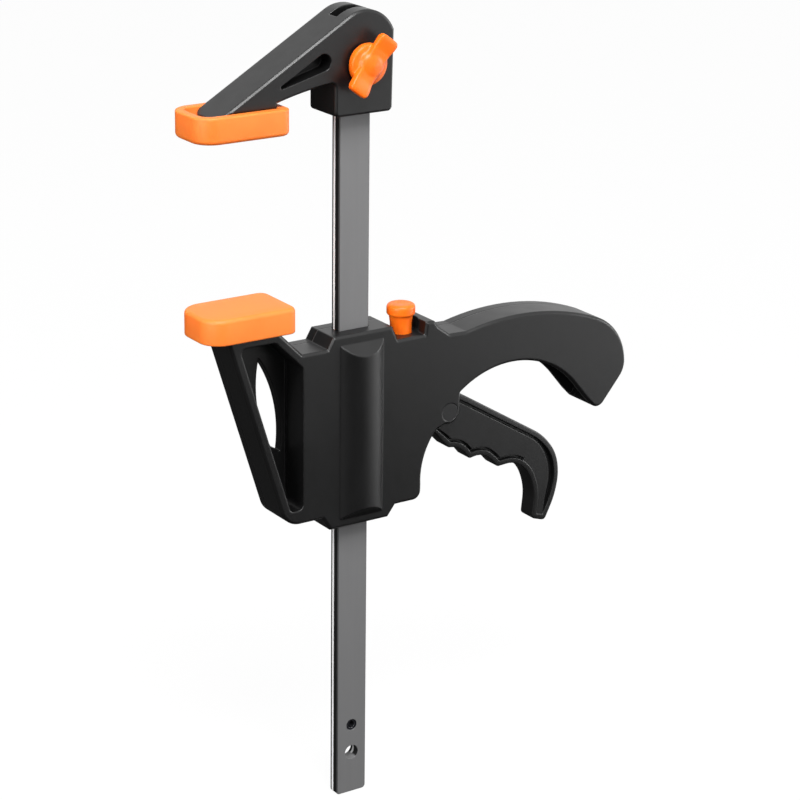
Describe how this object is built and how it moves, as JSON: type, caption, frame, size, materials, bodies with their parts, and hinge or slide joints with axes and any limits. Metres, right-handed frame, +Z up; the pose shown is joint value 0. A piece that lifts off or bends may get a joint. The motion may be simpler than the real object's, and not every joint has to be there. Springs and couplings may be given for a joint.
{
  "type": "quick release bar clamp",
  "caption": "Sliding-jaw hand clamp: flat steel bar, fixed jaw with wing screw, trigger-driven sliding jaw with soft pads and a push-button release.",
  "frame": {"origin": "centre of the bar's lower end face", "axes": "+Z up along the bar towards the fixed jaw, jaws and pads towards -X, handle towards +X, wing knob towards -Y"},
  "size_m": [0.2057, 0.0303, 0.3315],
  "materials": {
    "bar_steel": "satin, rolled flat bar",
    "black_nylon": "fine satin moulded texture",
    "soft_orange": "soft satin elastomer",
    "hard_orange": "smooth moulded plastic",
    "zinc_steel": "zinc plated",
    "spring_steel": "bright drawn wire",
    "hard_steel": "hardened, dark"
  },
  "bodies": {
    "bar_and_fixed_jaw": {"bar": "bar_steel", "bar_stop_pin": "spring_steel", "fixed_jaw": "black_nylon", "fixed_jaw_pad": "soft_orange", "jaw_lock_nut": "zinc_steel"},
    "screw_washer": {"screw_washer": "zinc_steel"},
    "wing_screw": {"clamp_screw": "zinc_steel", "wing_knob": "hard_orange"},
    "carriage": {"housing_front": "black_nylon", "housing_rear": "black_nylon", "housing_screws": "zinc_steel", "moving_jaw_pad": "soft_orange", "trigger_pivot_pin": "zinc_steel", "drive_spring": "spring_steel", "brake_spring": "spring_steel"},
    "trigger": {"trigger": "black_nylon"},
    "drive_plates": {"drive_plate_upper": "hard_steel", "drive_plate_lower": "hard_steel"},
    "brake_plate": {"brake_plate": "hard_steel"},
    "release_button": {"release_button": "hard_orange"}
  },
  "joints": [
    {"name": "carriage_slide", "type": "slide", "parent": "bar_and_fixed_jaw", "child": "carriage", "axis": [0, 0, 1], "range_m": [-0.0895, 0.0669]},
    {"name": "trigger_squeeze", "type": "hinge", "parent": "carriage", "child": "trigger", "pos_m": [0.0426, 0, 0.1629], "axis": [0, -1, 0], "range_deg": [0, 26], "stiffness_Nm_per_rad": 0.6, "springref_deg": -17.19},
    {"name": "drive_plates_slide", "type": "slide", "parent": "carriage", "child": "drive_plates", "axis": [0, 0, -1], "range_m": [0, 0.01215], "deforming": ["drive_spring"]},
    {"name": "button_press", "type": "slide", "parent": "carriage", "child": "release_button", "axis": [0, 0, -1], "range_m": [0, 0.0035], "stiffness_N_per_m": 400, "springref_m": -0.002},
    {"name": "brake_plate_tilt", "type": "hinge", "parent": "carriage", "child": "brake_plate", "pos_m": [-0.0105, 0, 0.1865], "axis": [0, 1, 0], "range_deg": [0, 5.7], "deforming": ["brake_spring"]},
    {"name": "screw_backout", "type": "slide", "parent": "bar_and_fixed_jaw", "child": "screw_washer", "axis": [0, -1, 0], "range_m": [0, 0.003]},
    {"name": "wing_screw_turn", "type": "hinge", "parent": "screw_washer", "child": "wing_screw", "pos_m": [0, 0, 0.3112], "axis": [0, -1, 0], "range_deg": [0, 1080]}
  ],
  "couplings": [
    {"joint": "drive_plates_slide", "follows": "trigger_squeeze", "m_per_rad": 0.026769},
    {"joint": "brake_plate_tilt", "follows": "button_press", "rad_per_m": 28.42},
    {"joint": "wing_screw_turn", "follows": "screw_backout", "rad_per_m": 6283.2}
  ]
}
